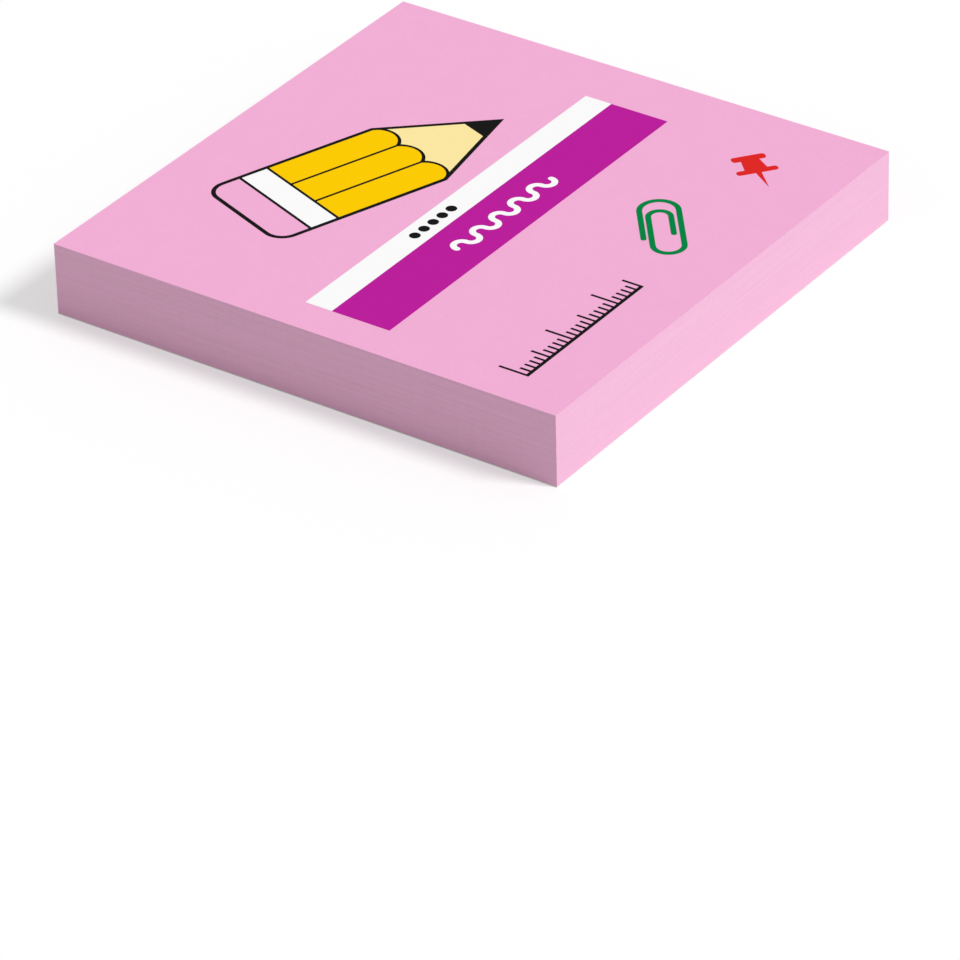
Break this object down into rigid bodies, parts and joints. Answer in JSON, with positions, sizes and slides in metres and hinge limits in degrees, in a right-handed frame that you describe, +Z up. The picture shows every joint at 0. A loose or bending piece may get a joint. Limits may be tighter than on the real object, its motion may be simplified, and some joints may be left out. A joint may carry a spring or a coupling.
{
  "type": "sticky note pad",
  "caption": "Square pad of pink sticky notes, glued along one edge, on a backing sheet, with a printed top sheet of plain bands and stationery motifs.",
  "frame": {"origin": "centre of the underside of the backing sheet", "axes": "+X to the right as the print is read, +Y towards the glued edge, +Z up out of the printed top sheet"},
  "size_m": [0.076, 0.076, 0.0102],
  "materials": {
    "note_paper": "matt uncoated pink paper; its cut edges read a lighter pink",
    "top_paper": "the same matt pink paper, printed",
    "backing_paper": "off-white paper with a smooth release coat on top",
    "adhesive": "clear low-tack adhesive, satin",
    "white_ink": "flat opaque ink with a slight satin",
    "purple_ink": "flat opaque ink with a slight satin",
    "yellow_ink": "flat opaque ink with a slight satin",
    "cream_ink": "flat opaque ink with a slight satin",
    "black_ink": "flat opaque ink with a slight satin",
    "green_ink": "flat opaque ink with a slight satin",
    "red_ink": "flat opaque ink with a slight satin"
  },
  "bodies": {
    "root": {"backing_sheet": "backing_paper", "lower_adhesive_strip": "adhesive", "note_block": "note_paper", "upper_adhesive_strip": "adhesive", "top_sheet": "top_paper", "white_print": "white_ink", "purple_print": "purple_ink", "yellow_print": "yellow_ink", "cream_print": "cream_ink", "black_print": "black_ink", "green_print": "green_ink", "red_print": "red_ink"}
  },
  "joints": []
}
